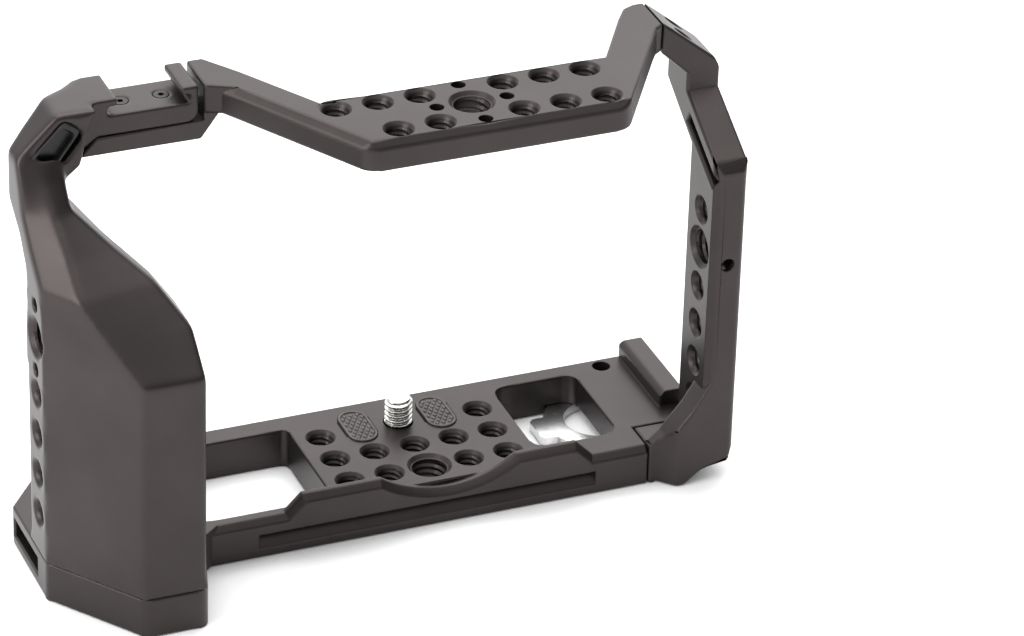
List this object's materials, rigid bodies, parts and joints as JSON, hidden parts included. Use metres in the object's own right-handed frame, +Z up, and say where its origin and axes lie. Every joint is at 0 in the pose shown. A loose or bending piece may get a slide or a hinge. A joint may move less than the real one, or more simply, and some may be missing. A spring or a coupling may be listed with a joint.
{
  "type": "camera cage",
  "caption": "Milled camera cage: base plate, hand-grip frame, forward-set top plate and side arm round an open camera bay, with a captive screw and a stowed ring key.",
  "frame": {"origin": "middle quarter-inch hole of the base plate's grid, on the face that the camera stands on", "axes": "+X right along the base plate as the lens side is seen, +Y back towards the viewer, +Z up"},
  "size_m": [0.1617, 0.0618, 0.109],
  "materials": {
    "metal": "bead-blasted and anodised dark brown-grey, satin",
    "steel": "plain stainless steel",
    "dark_steel": "black oxide",
    "magnet": "nickel plated",
    "pad": "matte, moulded lozenge relief"
  },
  "bodies": {
    "frame": {"base_plate": "metal", "top_plate": "metal", "grip_frame": "metal", "side_arm": "metal", "rubber_pad_left": "pad", "rubber_pad_right": "pad", "key_magnets": "magnet", "foot_screws": "dark_steel", "arm_screws": "dark_steel", "shoe_screws": "dark_steel", "bridge_screws": "dark_steel"},
    "clip": {"screw_clip": "steel"},
    "screw": {"camera_screw": "steel"},
    "key": {"ring_key": "steel"}
  },
  "joints": [
    {"name": "screw_float", "type": "slide", "parent": "frame", "child": "clip", "axis": [0, 0, -1], "range_m": [0, 0.002]},
    {"name": "screw_turn", "type": "hinge", "parent": "clip", "child": "screw", "pos_m": [0, 0.0102, 0], "axis": [0, 0, 1], "continuous": true},
    {"name": "key_lift_out", "type": "slide", "parent": "frame", "child": "key", "axis": [0, 0, -1], "range_m": [0, 0.03]}
  ]
}
